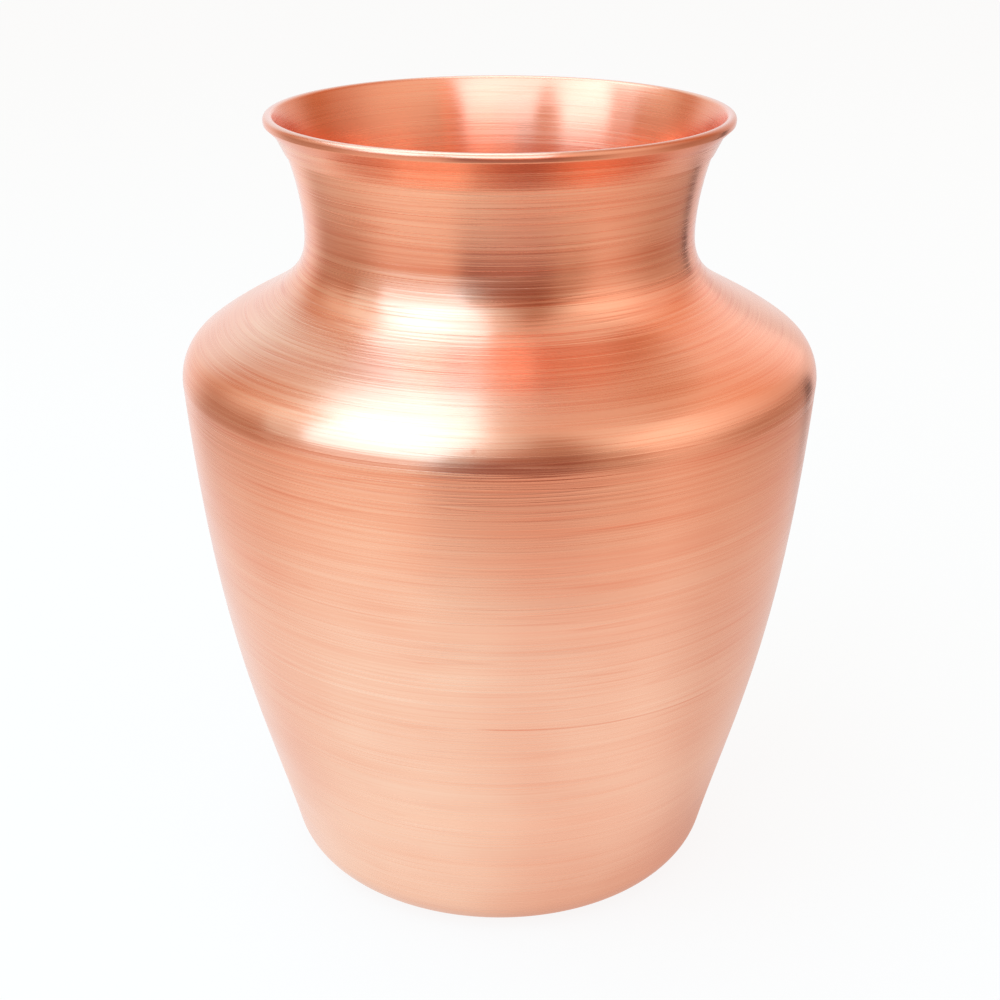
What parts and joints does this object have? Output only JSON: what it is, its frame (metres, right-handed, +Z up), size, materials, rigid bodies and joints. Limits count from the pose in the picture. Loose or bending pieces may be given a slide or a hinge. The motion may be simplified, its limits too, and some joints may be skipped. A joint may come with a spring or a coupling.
{
  "type": "copper lota",
  "caption": "Brushed copper lota: tapered round belly with flat base, rounded shoulder, narrow waist and flared neck with a rolled lip.",
  "frame": {"origin": "centre of the standing face, on the pot's axis", "axes": "+Z up along the pot's axis; +X and +Y are any two level directions, as the pot is round"},
  "size_m": [0.1164, 0.1164, 0.145],
  "materials": {
    "copper_sheet": "bare copper, satin, brushed round the pot with fine level lines",
    "copper_wire": "bare drawn copper wire, closed inside the rolled lip",
    "braze": "copper-phosphorus braze, filed flush outside and brushed with the sheet, left as a low bead inside"
  },
  "bodies": {
    "root": {"belly_shell": "copper_sheet", "base_disc": "copper_sheet", "base_braze": "braze", "belly_braze": "braze", "shoulder": "copper_sheet", "neck_braze": "braze", "neck_collar": "copper_sheet", "rim_wire": "copper_wire"}
  },
  "joints": []
}
